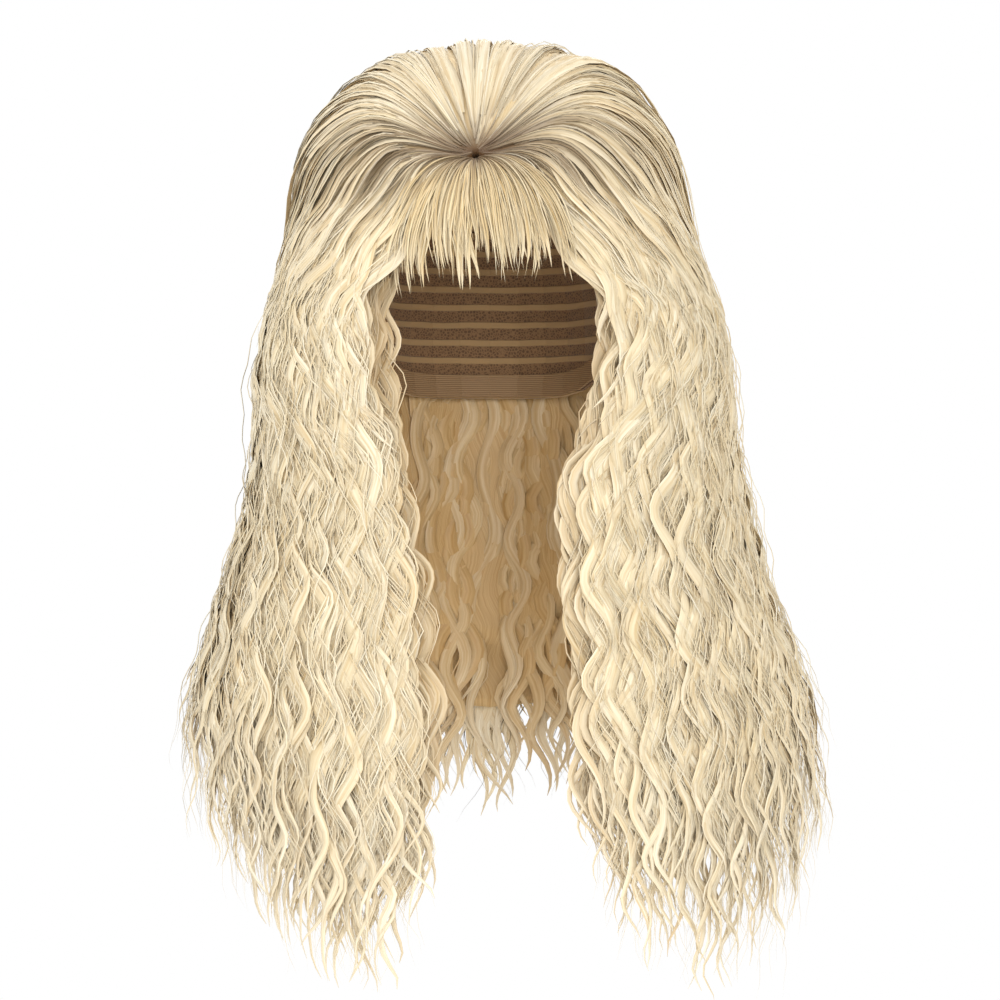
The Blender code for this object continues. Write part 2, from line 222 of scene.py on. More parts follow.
@dataclass(frozen=True)
class NetFinish:
    """Knitted polyester net with rows of sewn weft.

    A matt net of fine holes, crossed every 11 mm by a raised, darker row where hair is sewn.
    """

    name: str = "knitted wig net"
    thread: str = "#8A6A48"
    # The colour of the holes is painted shade: the dark seen through the net.
    hole_shade: str = "#5C432B"
    weft: str = "#A98A60"
    mesh_mm: float = 1.8
    row_mm: float = 11.0

    def build(self) -> bpy.types.Material:
        """Makes the material from Object coordinates.

        Returns:
            The finished material.
        """
        material = bpy.data.materials.new(self.name)
        material.use_nodes = True
        tree = material.node_tree
        shader = tree.nodes["Principled BSDF"]
        place = add_node(tree, "ShaderNodeTexCoord", {}, {})
        cells = add_node(
            tree,
            "ShaderNodeTexVoronoi",
            {"feature": "DISTANCE_TO_EDGE", "Scale": 1000.0 / self.mesh_mm},
            {"Vector": place.outputs["Object"]},
        )
        open_net = add_node(
            tree,
            "ShaderNodeMapRange",
            {"From Min": 0.05, "From Max": 0.25},
            {"Value": cells.outputs["Distance"]},
        )
        net = add_node(
            tree,
            "ShaderNodeMixRGB",
            {"Color1": linear(self.thread), "Color2": linear(self.hole_shade)},
            {0: open_net.outputs[0]},
        )
        rows = add_node(
            tree,
            "ShaderNodeTexWave",
            {
                "bands_direction": "Z",
                "Scale": band_scale(self.row_mm),
                "Distortion": 0.6,
                "Detail": 1.0,
            },
            {"Vector": place.outputs["Object"]},
        )
        raised = add_node(
            tree,
            "ShaderNodeMapRange",
            {"From Min": 0.62, "From Max": 0.82},
            {"Value": rows.outputs["Fac"]},
        )
        colour = add_node(
            tree,
            "ShaderNodeMixRGB",
            {"Color2": linear(self.weft)},
            {0: raised.outputs[0], "Color1": net.outputs[0]},
        )
        bump = add_node(
            tree,
            "ShaderNodeBump",
            {"Strength": 0.7, "Distance": 0.0012},
            {"Height": raised.outputs[0]},
        )
        shader.inputs["Roughness"].default_value = 0.85
        shader.inputs["Sheen Weight"].default_value = 0.2
        tree.links.new(colour.outputs[0], shader.inputs["Base Color"])
        tree.links.new(bump.outputs[0], shader.inputs["Normal"])
        return material


@dataclass(frozen=True)
class TapeFinish:
    """Woven elastic tape: matt, with ribs 1.2 mm apart."""

    name: str = "woven elastic tape"
    thread: str = "#A88A66"
    # The grooves between the ribs are painted darker: painted shade.
    groove_shade: str = "#7E6242"
    rib_mm: float = 1.2

    def build(self) -> bpy.types.Material:
        """Makes the material from Object coordinates.

        Returns:
            The finished material.
        """
        material = bpy.data.materials.new(self.name)
        material.use_nodes = True
        tree = material.node_tree
        shader = tree.nodes["Principled BSDF"]
        place = add_node(tree, "ShaderNodeTexCoord", {}, {})
        ribs = add_node(
            tree,
            "ShaderNodeTexWave",
            {"bands_direction": "Z", "Scale": band_scale(self.rib_mm)},
            {"Vector": place.outputs["Object"]},
        )
        colour = add_node(
            tree,
            "ShaderNodeMixRGB",
            {"Color1": linear(self.groove_shade), "Color2": linear(self.thread)},
            {0: ribs.outputs["Fac"]},
        )
        bump = add_node(
            tree,
            "ShaderNodeBump",
            {"Strength": 0.5, "Distance": 0.0004},
            {"Height": ribs.outputs["Fac"]},
        )
        shader.inputs["Roughness"].default_value = 0.75
        tree.links.new(colour.outputs[0], shader.inputs["Base Color"])
        tree.links.new(bump.outputs[0], shader.inputs["Normal"])
        return material


@dataclass(frozen=True)
class HairForm:
    """The outer form of the hair, with the sizes that its solids have.

    A strand's place round the head is its way, from 0 at the face to 1 at the middle of the
    back, on the side of its sign. Its place along the strand is its run: 0 at the whorl, 1 at
    the lower edge of the crown and 2 at the tip.
    """

    head_half: tuple[float, float, float] = (0.075, 0.097, 0.115)
    seat: float = 0.0035
    whorl_tilt: float = 33.0
    whorl_azimuth: float = -10.0
    whorl_radius: float = 0.003
    whorl_pit: float = 0.006
    crown_lift: float = 0.070
    crown_half_width: float = 0.118
    crown_front: float = 0.084
    crown_back: float = 0.140
    crown_centre_drop: float = 0.030
    crown_seat_drop: float = 0.052
    crown_edge_drop: float = 0.092
    nape_drop: float = 0.150
    crown_rise: float = 0.42
    crown_front_thin: float = 0.45
    fall_drop: float = 0.505
    side_reach: float = 0.198
    front_reach: float = 0.120
    back_reach: float = 0.146
    hair_wall: float = 0.042
    columns: tuple[str, ...] = (
        "drop", "left", "right", "front", "back", "wall", "edge_left", "edge_right"
    )
    outline: tuple[tuple[float, ...], ...] = (
        (0.06, 0.600, 0.590, 0.70, 0.96, 1.60, 43.0, 43.0),
        (0.12, 0.640, 0.625, 0.80, 0.98, 1.50, 43.0, 43.0),
        (0.20, 0.715, 0.680, 0.88, 1.00, 1.35, 43.0, 43.0),
        (0.28, 0.750, 0.720, 0.87, 0.98, 1.20, 41.0, 41.0),
        (0.36, 0.762, 0.715, 0.83, 0.93, 1.00, 34.0, 35.0),
        (0.44, 0.805, 0.745, 0.84, 0.88, 0.92, 28.0, 30.0),
        (0.52, 0.850, 0.810, 0.91, 0.87, 0.95, 26.0, 25.0),
        (0.60, 0.930, 0.870, 0.97, 0.89, 1.00, 26.0, 20.0),
        (0.68, 0.985, 0.910, 1.00, 0.91, 1.00, 26.0, 18.0),
        (0.80, 1.000, 0.890, 1.00, 0.90, 0.90, 27.0, 17.0),
        (0.90, 0.970, 0.830, 0.97, 0.86, 0.75, 29.0, 18.0),
        (1.00, 0.900, 0.760, 0.93, 0.82, 0.55, 31.0, 20.0),
    )
    tips: tuple[tuple[float, float, float], ...] = (
        (0.00, 0.81, 0.82),
        (0.03, 0.87, 0.89),
        (0.06, 0.91, 0.955),
        (0.14, 0.96, 0.975),
        (0.20, 0.98, 0.96),
        (0.25, 0.96, 0.93),
        (0.30, 0.915, 0.875),
        (0.35, 0.86, 0.84),
        (0.41, 0.82, 0.805),
        (0.50, 0.79, 0.77),
        (0.60, 0.77, 0.76),
        (0.75, 0.79, 0.79),
        (1.00, 0.81, 0.81),
    )

    def level(self, height: Array, name: str) -> Array:
        """A column of the outline at a height, straight between the table's rows."""
        table = np.array(self.outline)
        return np.interp(height, -table[::-1, 0] * self.fall_drop, table[::-1, self.columns.index(name)])

    def beyond(self, point: Array) -> Array:
        """Under 1 inside the outline and over 1 outside it: the sum of the squared shares of the
        half sizes of the oval at the point's height, which shrinks to nothing over the crown."""
        height = point[..., 2]
        rise = np.clip((height + self.crown_centre_drop) / (self.crown_lift + self.crown_centre_drop), 0, 1)
        dome = rise > 0
        left = np.where(dome, self.crown_half_width, self.level(height, "left") * self.side_reach)
        right = np.where(dome, self.crown_half_width, self.level(height, "right") * self.side_reach)
        front = np.where(dome, self.crown_front, self.level(height, "front") * self.front_reach)
        back = np.where(dome, self.crown_back, self.level(height, "back") * self.back_reach)
        shrink = np.maximum(np.sqrt(1.0 - rise * rise), 1e-5)
        across = (point[..., 0] - (left - right) / 2) / ((left + right) / 2 * shrink)
        along = (point[..., 1] - (back - front) / 2) / ((back + front) / 2 * shrink)
        return np.where(height > self.crown_lift, 9.0, across * across + along * along)

    def reach(self, start: Array, way: Array) -> Array:
        """How many times a vector fits between a start and the outline, found by halving."""
        low = np.zeros(way.shape[:-1])
        high = np.full(way.shape[:-1], 4.0)
        for _ in range(22):
            middle = (low + high) / 2
            inside = self.beyond(start + way * middle[..., None]) < 1.0
            low = np.where(inside, middle, low)
            high = np.where(inside, high, middle)
        return low

    def centre(self) -> Array:
        """The middle of the head."""
        return np.array([0.0, 0.0, -self.head_half[2]])

    def on_head(self, azimuth: Array, drop: Array, offset: Array | float) -> Array:
        """A point of the head's ellipsoid at an azimuth and a depth below its top, moved out."""
        half = [h + offset for h in self.head_half]
        lift = (self.head_half[2] - drop) / half[2]
        flat = np.sqrt(np.maximum(1.0 - lift * lift, 0.0))
        turn = np.radians(azimuth)
        ray = 1.0 / np.hypot(np.sin(turn) / half[0], np.cos(turn) / half[1])
        return np.stack([ray * flat * np.sin(turn), -ray * flat * np.cos(turn), -drop + 0.0 * ray], -1)

    def whorl(self) -> Array:
        """The whorl's direction from the middle of the head, in shares of its half sizes."""
        tilt, turn = math.radians(self.whorl_tilt), math.radians(self.whorl_azimuth)
        return np.array(
            [math.sin(tilt) * math.sin(turn), -math.sin(tilt) * math.cos(turn), math.cos(tilt)]
        )

    def whorl_point(self) -> Array:
        """The whorl's place on the head."""
        return self.centre() + self.whorl() * (np.array(self.head_half) + self.seat)

    def from_whorl(self, point: Array) -> Array:
        """The distance from the whorl, less to the sides, where the dyed roots reach furthest."""
        middle = self.whorl_point() + (0.010, 0.0, 0.0)
        return np.linalg.norm((point - middle) * (0.45, 1.25, 1.25), axis=-1)

    def fan(self, ends: Array, shares: Array) -> Array:
        """Directions along great circles from the whorl to each end.

        Args:
            ends: unit directions, one for each strand.
            shares: a row of shares of the way for each strand.

        Returns:
            Unit directions, strands by shares.
        """
        start = self.whorl()
        angle = np.arccos(np.clip(ends @ start, -1.0, 1.0))[:, None]
        first = self.whorl_radius / self.head_half[2]
        turn = first + (angle - first) * shares
        ahead = np.sin(angle - turn)[..., None] * start
        behind = np.sin(turn)[..., None] * ends[:, None, :]
        return (ahead + behind) / np.sin(angle)[..., None]

    def scaled_direction(self, point: Array) -> Array:
        """The direction of a point from the middle of the head, in shares of its half sizes."""
        return unit((point - self.centre()) / np.array(self.head_half))

    def azimuth(self, way: Array, side: Array, height: Array) -> Array:
        """The azimuth of a way at a height: from the edge of the face round to the back."""
        edge = np.where(side > 0, self.level(height, "edge_left"), self.level(height, "edge_right"))
        return side * (edge + (180.0 - edge) * way)

    def level_point(self, azimuth: Array, height: Array, inward: Array) -> Array:
        """The outline's point at a height and azimuth, moved towards the upright axis."""
        turn = np.radians(azimuth)
        ray = np.stack([np.sin(turn), -np.cos(turn), 0.0 * turn], -1)
        axis = np.stack([0.0 * turn, 0.0 * turn, height + 0.0 * turn], -1)
        radius = self.reach(axis, ray * self.side_reach) * self.side_reach - inward
        return axis + ray * radius[..., None]

    def lowest(self, way: Array, side: Array) -> Array:
        """The height at which the hair of a way ends."""
        table = np.array(self.tips)
        left = np.interp(way, table[:, 0], table[:, 1])
        right = np.interp(way, table[:, 0], table[:, 2])
        return -np.where(side > 0, left, right) * self.fall_drop

    def crown(self, way: Array, side: Array, share: Array, inset: Array) -> Array:
        """The crown's surface, from the whorl at a share of 0 to its lower edge at 1.

        Each point lies on the great circle from the whorl to the point of the lower edge. It
        rises from the cap to the outline in the first part of the way, less so at the face.

        Args:
            way: place round the head, one for each strand.
            side: the strand's side, as a sign.
            share: place along the strand, strands by points.
            inset: depth below the surface, strands by points.

        Returns:
            Points, strands by points by 3.
        """
        height = np.full(way.shape, -self.crown_edge_drop)
        end = self.level_point(self.azimuth(way, side, height), height, np.zeros(way.shape))
        scaled = self.fan(self.scaled_direction(end), share) * np.array(self.head_half)
        full = self.reach(self.centre(), scaled)
        pit = 1.0 + (self.seat + self.whorl_pit) / self.head_half[2]
        front = 1.0 - ease(way / 0.16)[:, None]
        rise = ease(share / self.crown_rise) * (1.0 - self.crown_front_thin * front * (1.0 - share**3))
        sink = inset / self.head_half[2] * np.clip(share * 4.0, 0.0, 1.0)
        least = 1.0 + (self.seat + 0.002) / self.head_half[2]
        return self.centre() + scaled * np.maximum(pit + (full - pit) * rise - sink, least)[..., None]

    def fall(
        self, way: Array, side: Array, share: Array, inset: Array, length: Array, inner: bool = False
    ) -> Array:
        """The falls' outer face, from the crown's edge at a share of 0 to the tips at 1, or the
        inner one.

        The inner face lies on the cap at the top and leaves it on the way down to the nape,
        where it is the outline less the thickness of the hair.

        Args:
            way: place round the head, strands by points.
            side: each strand's side, as a sign.
            share: place along the strand, strands by points.
            inset: distance from the face into the hair, strands by points.
            length: each strand's length as a share of the hair's there.
            inner: whether the face is the inner one.

        Returns:
            Points, strands by points by 3.
        """
        top = -self.crown_edge_drop
        height = top + ((self.lowest(way, side) - top) * length) * share
        azimuth = self.azimuth(way, side, height)
        turn = np.radians(azimuth)
        ray = np.stack([np.sin(turn), -np.cos(turn), 0.0 * turn], -1)
        axis = np.stack([0.0 * turn, 0.0 * turn, height + 0.0 * turn], -1)
        outside = self.reach(axis, ray * self.side_reach) * self.side_reach
        seat = self.on_head(azimuth, np.minimum(-height, self.head_half[2]), self.seat)
        seat = np.hypot(seat[..., 0], seat[..., 1])
        thinned = 1.0 - ease((share - 0.72) / 0.28)
        wall = np.maximum(self.level(height, "wall") * self.hair_wall * thinned, 0.016)
        leave = ease((-height - self.crown_edge_drop) / (self.nape_drop - self.crown_edge_drop))
        within = seat + (np.maximum(outside - wall, seat) - seat) * leave
        if inner:
            radius = np.minimum(within + inset, outside - 0.004)
        else:
            radius = np.maximum(outside - inset, within + 0.002)
        return axis + ray * radius[..., None]

    def outward(self, point: Array) -> Array:
        """The outward direction at a point: level below the middle of the head, and away from
        that middle above it."""
        anchor = np.zeros(point.shape)
        anchor[..., 1] = 0.02
        anchor[..., 2] = np.minimum(point[..., 2], self.centre()[2])
        return unit(point - anchor)


@dataclass
class MeshArrays:
    """Points, faces and their values, gathered before they go into one mesh."""

    points: list[Array] = field(default_factory=list)
    quads: list[Array] = field(default_factory=list)
    caps: list[Array] = field(default_factory=list)
    marks: list[Array] = field(default_factory=list)
    along: list[Array] = field(default_factory=list)
    normals: list[Array] = field(default_factory=list)
    count: int = 0

    def add_tubes(self, rings: Array, marks: Array, along: Array, normals: Array | None = None) -> None:
        """Adds closed tubes: rings of points joined by quads, with a face at each end.

        Args:
            rings: tubes by rings by sides by 3.
            marks: the strand values of each ring, tubes by rings by 3.
            along: UV of each point, tubes by rings by (sides + 1) by 2, the last for the seam.
            normals: the directions that both ends of each side are shaded by, tubes by rings by
                sides by 2 by 3, or none for the faces' own.
        """
        tubes, length, sides = rings.shape[:3]
        if normals is not None:
            first, second = normals[:, :, :, 0], normals[:, :, :, 1]
            turned = np.stack([first[:, :-1], second[:, :-1], second[:, 1:], first[:, 1:]], -2)
            self.normals.append(turned.reshape(-1, 3))
        index = self.count + np.arange(tubes * length * sides).reshape(tubes, length, sides)
        after = np.roll(index, -1, axis=2)
        quads = np.stack([index[:, :-1], after[:, :-1], after[:, 1:], index[:, 1:]], -1)
        corner = np.stack(
            [along[:, :-1, :-1], along[:, :-1, 1:], along[:, 1:, 1:], along[:, 1:, :-1]], -2
        )
        self.points.append(rings.reshape(-1, 3))
        self.quads.append(quads.reshape(-1, 4))
        self.along.append(corner.reshape(-1, 2))
        self.caps.append(np.concatenate([index[:, 0, ::-1], index[:, -1]]))
        self.marks.append(np.repeat(marks.reshape(-1, 3), sides, axis=0))
        self.count += tubes * length * sides

    def build(self, name: str, material: bpy.types.Material) -> bpy.types.Object:
        """Fills a mesh with the arrays and makes its object.

        Args:
            name: the piece's name.
            material: its finish.

        Returns:
            The piece.
        """
        points = np.concatenate(self.points)
        quads = np.concatenate(self.quads)
        sides = self.caps[0].shape[1]
        caps = np.concatenate(self.caps)
        loops = np.concatenate([quads.ravel(), caps.ravel()])
        total = np.concatenate([np.full(len(quads), 4), np.full(len(caps), sides)])
        mesh = bpy.data.meshes.new(name)
        mesh.vertices.add(len(points))
        mesh.vertices.foreach_set("co", points.astype(np.float32).ravel())
        mesh.loops.add(len(loops))
        mesh.loops.foreach_set("vertex_index", loops.astype(np.int32))
        mesh.polygons.add(len(total))
        start = np.concatenate([[0], np.cumsum(total)[:-1]])
        mesh.polygons.foreach_set("loop_start", start.astype(np.int32))
        mesh.update(calc_edges=True)
        uv = mesh.uv_layers.new(name="along")
        flat = np.zeros((len(loops), 2), np.float32)
        flat[: len(quads) * 4] = np.concatenate(self.along)
        uv.data.foreach_set("uv", flat.ravel())
        strand = mesh.attributes.new("strand", "FLOAT_VECTOR", "POINT")
        strand.data.foreach_set("vector", np.concatenate(self.marks).astype(np.float32).ravel())
        mesh.shade_smooth()
        mesh.validate()
        if self.normals:
            turned = np.zeros((len(loops), 3))
            turned[: len(quads) * 4] = np.concatenate(self.normals)
            mesh.normals_split_custom_set(turned.tolist())
        mesh.materials.append(material)
        piece = bpy.data.objects.new(name, mesh)
        bpy.context.scene.collection.objects.link(piece)
        return piece


@dataclass(frozen=True)
class Gauge:
    """The hairs that each clump holds: their number, their section and how they lie in it.

    Each hair is a closed tube of three sides. Sizes are in metres. The spread is how far hairs
    lie from the clump's middle, the lift is how far they stand out of it, loose is how far
    their waves are out of step in radians, and stray is how far they wander off. Soft is the
    share of the hair's outer form in the direction that a hair is shaded by: fine hairs
    scatter light between them, so that a bundle shades as one soft form.
    """

    each: int
    section: Section
    width: float
    thickness: float
    spread: float
    lift: tuple[float, float]
    loose: float
    stray: float
    tone: tuple[float, float]
    rings: int
    soft: float
    starts: tuple[float, float] = (0.0, 0.12)
    ends: tuple[float, float] = (0.86, 1.0)
    full_at: float = 0.07


LOCK = Gauge(
    3, Section.FLAT, 0.0078, 0.0020, 0.0056, (-0.0012, 0.0010), 0.30, 0.0, (0.15, 0.65), 66, 0.6
)
STRAND = Gauge(
    4, Section.ROUND, 0.0009, 0.0007, 0.0065, (0.0002, 0.0022), 0.5, 0.0006, (0.1, 0.8), 44, 0.48,
    full_at=0.03,
)
FLYAWAY = Gauge(
    1, Section.ROUND, 0.0006, 0.0006, 0.0080, (0.0010, 0.0050), 1.4, 0.0036, (0.4, 1.0), 44, 0.48,
    (0.0, 0.4),
)


@dataclass
class Clumps:
    """The middle lines of clumps of hair, before they wave.

    Attributes:
        point: clumps by rings by 3.
        run: each point's run, clumps by rings.
        phase: where in its wave each clump starts, in radians.
        pitch: the length of each clump's wave.
        shade: each clump's share of painted shade, from 0 to 1, by how deep in the hair it lies.
        facing: 1 where the hair is seen from outside, and -1 where it is seen from inside.
        swing: how far the wave goes sideways, as a share of its pitch.
        swell: how far the wave goes outwards, as a share of its pitch.
    """

    form: HairForm
    point: Array
    run: Array
    phase: Array
    pitch: Array
    shade: Array
    facing: float = 1.0
    swing: float = 0.095
    swell: float = 0.024

    def members(self, gauge: Gauge, seed: int) -> tuple[Array, Array, Array, Array]:
        """Lays out the hairs of every clump.

        A hair takes part of its clump's line, moved sideways and outwards by its place in the
        clump. Its wave moves it sideways by the sine, and outwards by the cosine of twice, the
        length along it over the wave's pitch. The wave grows down the head.

        Args:
            gauge: the make of the hairs.
            seed: seed of their places.

        Returns:
            Points, runs, lengths along the hair, and the shade of each hair.
        """
        rng = np.random.default_rng(seed)
        clumps, rings = self.run.shape
        home = np.repeat(np.arange(clumps), gauge.each)
        count = len(home)
        share = np.linspace(0.0, 1.0, gauge.rings)[None, :]
        start = rng.uniform(*gauge.starts, (count, 1))
        end = rng.uniform(*gauge.ends, (count, 1))
        at = (start + (end - start) * share) * (rings - 1)
        low = np.clip(at.astype(int), 0, rings - 2)
        part = at - low
        rows = home[:, None]
        step = np.linalg.norm(np.diff(self.point, axis=1), axis=2)
        length = np.concatenate([np.zeros((clumps, 1)), np.cumsum(step, axis=1)], axis=1)
        point = self.point[rows, low] * (1 - part[..., None]) + self.point[rows, low + 1] * part[..., None]
        run = self.run[rows, low] * (1 - part) + self.run[rows, low + 1] * part
        gone = length[rows, low] * (1 - part) + length[rows, low + 1] * part

        out = self.form.outward(point)
        across = unit(np.cross(unit(np.gradient(point, axis=1)), out))
        room = ease(run * 1.6) * (1.0 - 0.35 * ease((run - 1.7) / 0.3))
        aside = np.clip(rng.normal(0.0, 0.6, (count, 1)), -1.2, 1.2) * gauge.spread * room
        above = rng.uniform(*gauge.lift, (count, 1)) * ease(run * 3.0)
        down = -point[..., 2]
        strength = (0.2 * ease(run) + 0.8 * ease(down / 0.16)) * rng.uniform(0.7, 1.25, (count, 1))
        pitch = self.pitch[home][:, None]
        turn = 2 * np.pi * gone / pitch + self.phase[home][:, None]
        turn = turn + gauge.loose * rng.normal(0.0, 1.0, (count, 1))
        slow = 0.45 * np.sin(turn * 0.43 + rng.uniform(0.0, 6.0, (count, 1)))
        roam = rng.normal(0.0, 1.0, (count, 1)) * np.sin(gone * rng.uniform(9, 24, (count, 1)) + turn * 0.1)
        flick = rng.normal(0.0, 0.007, (2, count, 1)) * ease((run - 1.65) / 0.35)
        sideways = aside + self.swing * pitch * strength * (np.sin(turn) + slow) + flick[0]
        outwards = above + self.swell * pitch * strength * np.cos(2.0 * turn) + np.abs(flick[1])
        sideways = sideways + gauge.stray * roam * ease(run)
        outwards = outwards + gauge.stray * np.abs(roam) * ease(run * 2)
        return point + across * sideways[..., None] + out * outwards[..., None], run, gone, self.shade[home]

    def draw(self, gauge: Gauge, arrays: MeshArrays, seed: int) -> None:
        """Carries a flattened profile along every hair, tapered at both ends and twisted.

        Args:
            gauge: the make of the hairs.
            arrays: what the tubes are added to.
            seed: seed of the hairs' places and tones.
        """
        point, run, gone, shade = self.members(gauge, seed)
        rng = np.random.default_rng(seed + 1)
        count, rings = run.shape
        out = self.form.outward(point)
        ahead = unit(np.gradient(point, axis=1))
        across = unit(np.cross(out, ahead)) * self.facing
        up = np.cross(ahead, across)
        start, rate = rng.normal(0.0, 0.12, (count, 1)), rng.uniform(25.0, 55.0, (count, 1))
        roll = (start + 0.22 * np.sin(gone * rate + start * 18.0))[..., None]
        across, up = across * np.cos(roll) + up * np.sin(roll), up * np.cos(roll) - across * np.sin(roll)
        share = np.linspace(0.0, 1.0, rings)[None, :]
        taper = np.clip(share * 6.0 + 0.6, 0, 1) * np.clip((1.0 - share) * 4.0, 0.0, 1.0) ** 0.75 + 0.03
        far = np.linalg.norm(point - self.form.whorl_point(), axis=2)
        size = taper * rng.uniform(0.65, 1.25, (count, 1)) * np.clip(far / gauge.full_at, 0.14, 1.0)
        angle = gauge.section.value * np.arange(3)
        wide = (gauge.width / 2 * size)[..., None, None] * np.cos(angle)[:, None]
        high = (gauge.thickness / 2 * size)[..., None, None] * np.sin(angle)[:, None]
        ring = point[:, :, None, :] + across[:, :, None, :] * wide + up[:, :, None, :] * high

        tone = rng.uniform(*gauge.tone, (count, 1)) + 0.35 * ease((share - 0.7) / 0.3)
        fade = rng.uniform(0.022, 0.051, (count, 1))
        root = np.exp(-((self.form.from_whorl(point) / fade) ** 3))
        root = root * rng.uniform(0.8, 1.0, (count, 1))
        # Painted shade: each hair gets its clump's share, less towards the tip.
        deep_shade = shade[:, None] * rng.uniform(0.7, 1.1, (count, 1)) * (1.0 - 0.5 * ease((share - 0.7) / 0.3))
        marks = np.stack([np.clip(tone, 0, 1), root, np.clip(deep_shade + 0.0 * tone, 0, 1)], -1)
        spread = np.array([0.0, 0.5, 1.0, 2.0])[None, None, :] * gauge.width
        shift = rng.uniform(0.0, 4.0, (count, 1, 1))
        along = np.stack([spread + shift + 0.0 * gone[..., None], gone[..., None] + shift + 0.0 * spread], -1)
        faced = gauge.section.value * (np.arange(3)[:, None] + np.array([0.0, 1.0]))
        lean = np.full((3, 1, 1), gauge.soft * self.facing)
        if gauge.section is Section.FLAT:
            faced[2] = 1.5 * np.pi
            lean[2] *= -1.0
        across, up, out = (v[:, :, None, None, :] for v in (across, up, out))
        around = across * np.cos(faced)[..., None] + up * np.sin(faced)[..., None]
        arrays.add_tubes(ring, marks, along, unit((1.0 - gauge.soft) * around + lean * out))


@dataclass
class HairMass:
    """The teased body of one stretch of the hair, under its locks: a closed, ribbed wall."""

    form: HairForm
    node: str
    ways: tuple[float, float]
    sides: tuple[Side, ...]
    runs: tuple[float, float]
    columns: int = 48
    rows: int = 44
    inset: float = 0.0065

    def grid(self, side: Side) -> tuple[Array, Array]:
        """The outer and inner points of one side.

        The outer face is the form less an inset and less ribs, which are the rectified sine of
        the way. The inner face is the cap's seat under the crown, and the form less the
        thickness of the hair below it.

        Args:
            side: the side of the head.

        Returns:
            Outer and inner points, columns by rows by 3.
        """
        way = np.linspace(*self.ways, self.columns)
        sign = np.full(self.columns, side.value)
        run = np.linspace(*self.runs, self.rows)[None, :] * np.ones((self.columns, 1))
        rib = 0.002 * np.abs(np.sin(way * 70.0))[:, None] * ease(run * 2.0)
        if self.runs[0] < 1.0:
            outer = self.form.crown(way, sign, np.clip(run, 0, 1), self.inset + rib)
            direction = self.form.scaled_direction(outer)
            half = np.array(self.form.head_half) + self.form.seat + 0.001
            return outer, self.form.centre() + direction * half
        share = np.clip(run - 1.0, 0.0, 1.0)
        outer = self.form.fall(way[:, None], sign[:, None], share, self.inset + rib, 0.80)
        inner = self.form.fall(way[:, None], sign[:, None], share, 0.002, 0.80, True)
        return outer, inner

    def build(self, finish: bpy.types.Material) -> bpy.types.Object:
        """Joins the outer and inner faces into one closed wall.

        Args:
            finish: its material.

        Returns:
            The piece.
        """
        grids = [self.grid(side) for side in self.sides]
        if len(grids) == 2:
            outer = np.concatenate([grids[0][0], grids[1][0][-2::-1]])
            inner = np.concatenate([grids[0][1], grids[1][1][-2::-1]])
        else:
            outer, inner = grids[0]
            if self.sides[0] is Side.RIGHT:
                outer, inner = outer[::-1], inner[::-1]
        loop = np.concatenate([outer, inner[:, ::-1]], axis=1)
        rings = loop[None]
        columns, around = loop.shape[:2]
        half = outer.shape[1]
        root = np.exp(-((self.form.from_whorl(loop) / 0.032) ** 3))
        # The body is painted with deep shade: a third of it on the outer face, seen in the gaps between locks,
        # and nearly all of it on the inner face.
        deep_shade = np.where(np.arange(around) < half, 0.32, 0.95)[None, :] * np.ones((columns, 1))
        arrays = MeshArrays()
        across = np.linspace(0.0, 0.2 * len(grids), columns)[:, None]
        step = np.linalg.norm(np.diff(np.concatenate([loop, loop[:, :1]], axis=1), axis=1), axis=2)
        down = np.concatenate([[0.0], np.cumsum(step.mean(axis=0))])[None, :]
        crimp = 0.006 * np.sin(2 * np.pi * down / 0.052 + 40.0 * across)
        along = np.stack([across + crimp, down + 0.0 * across], -1)
        arrays.add_tubes(rings, np.zeros((1, columns, 3)), along[None])
        arrays.marks = [np.stack([0.0 * deep_shade, root, deep_shade], -1).reshape(-1, 3)]
        return arrays.build(self.node + "_body", finish)


def place(piece: bpy.types.Object, slot: str, nodes: tuple[str, ...] = ()) -> None:
    """Makes a piece ride on the wig and puts it in place of its solids."""
    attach(piece, "root")
    if nodes:
        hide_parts(*nodes)
    triangles = len(piece.data.loops) - 2 * len(piece.data.polygons)
    log.info("%s: %d triangles", piece.name, triangles)


